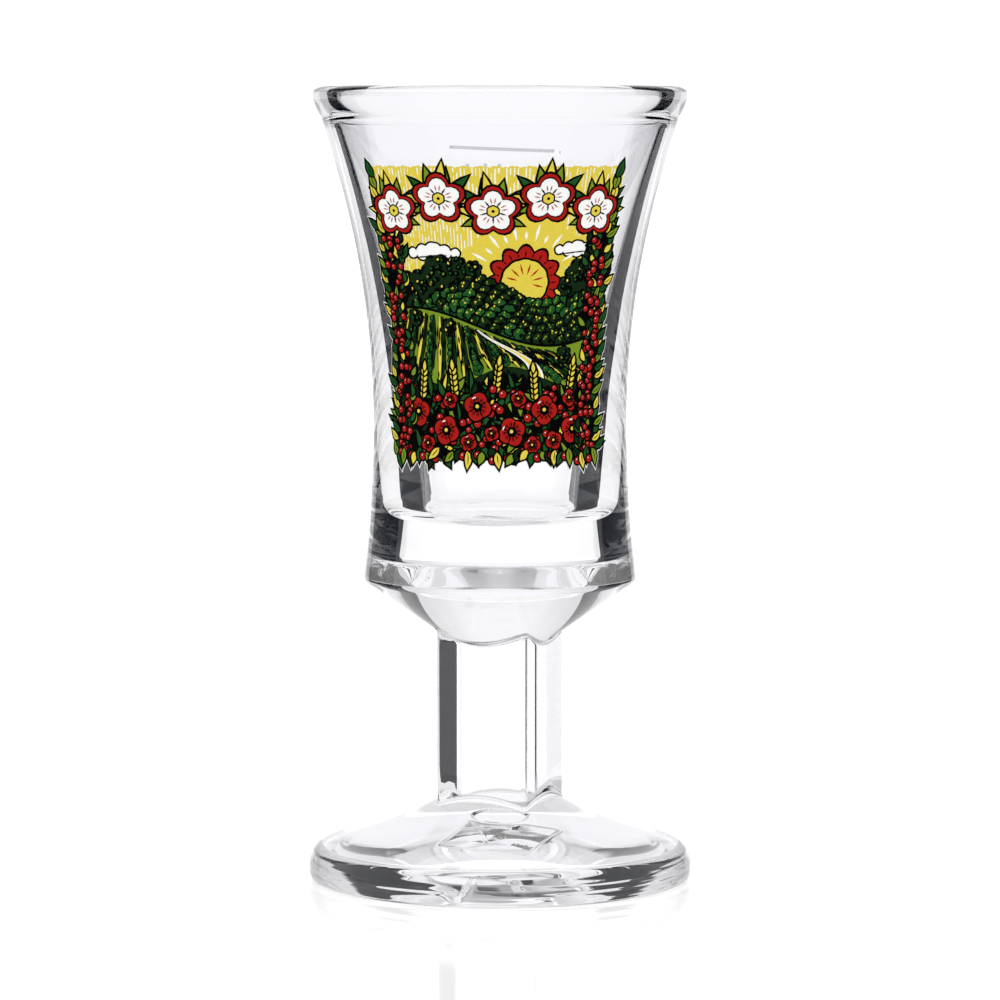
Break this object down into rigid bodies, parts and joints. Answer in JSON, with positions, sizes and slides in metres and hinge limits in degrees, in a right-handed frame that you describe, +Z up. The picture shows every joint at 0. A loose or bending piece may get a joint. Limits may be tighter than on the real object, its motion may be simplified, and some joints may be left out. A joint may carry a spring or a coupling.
{
  "type": "schnapps glass",
  "caption": "Footed schnapps glass: flared cup with a beaded lip on a square stem and a domed round foot, enamel picture on the front.",
  "frame": {"origin": "on the glass's axis, in the plane that it stands on", "axes": "+Z up the axis from the foot to the lip; -Y is the side with the picture, +X is to the right of someone who looks at the picture"},
  "size_m": [0.044, 0.044, 0.091],
  "materials": {
    "clear_glass": "fire-polished pressed glass",
    "white_enamel": "fired enamel, satin",
    "yellow_enamel": "fired enamel, satin",
    "red_enamel": "fired enamel, satin",
    "dark_green_enamel": "fired enamel, satin",
    "mid_green_enamel": "fired enamel, satin",
    "light_green_enamel": "fired enamel, satin",
    "black_enamel": "fired enamel, satin",
    "grey_enamel": "fired enamel, satin"
  },
  "bodies": {
    "root": {"bowl": "clear_glass", "stem": "clear_glass", "foot": "clear_glass", "fill_line": "grey_enamel", "print_white_ground": "white_enamel", "print_yellow_sky": "yellow_enamel", "print_sun": "red_enamel", "print_far_hills": "mid_green_enamel", "print_near_hill": "light_green_enamel", "print_meadow": "dark_green_enamel", "print_black_lines": "black_enamel", "print_blossom_edge_1": "red_enamel", "print_blossom_edge_2": "red_enamel", "print_blossom_edge_3": "red_enamel", "print_blossom_edge_4": "red_enamel", "print_blossom_edge_5": "red_enamel", "print_blossom_1": "white_enamel", "print_blossom_2": "white_enamel", "print_blossom_3": "white_enamel", "print_blossom_4": "white_enamel", "print_blossom_5": "white_enamel", "print_poppy_1": "red_enamel", "print_poppy_2": "red_enamel", "print_poppy_3": "red_enamel", "print_poppy_4": "red_enamel", "print_poppy_5": "red_enamel", "print_poppy_6": "red_enamel"}
  },
  "joints": []
}
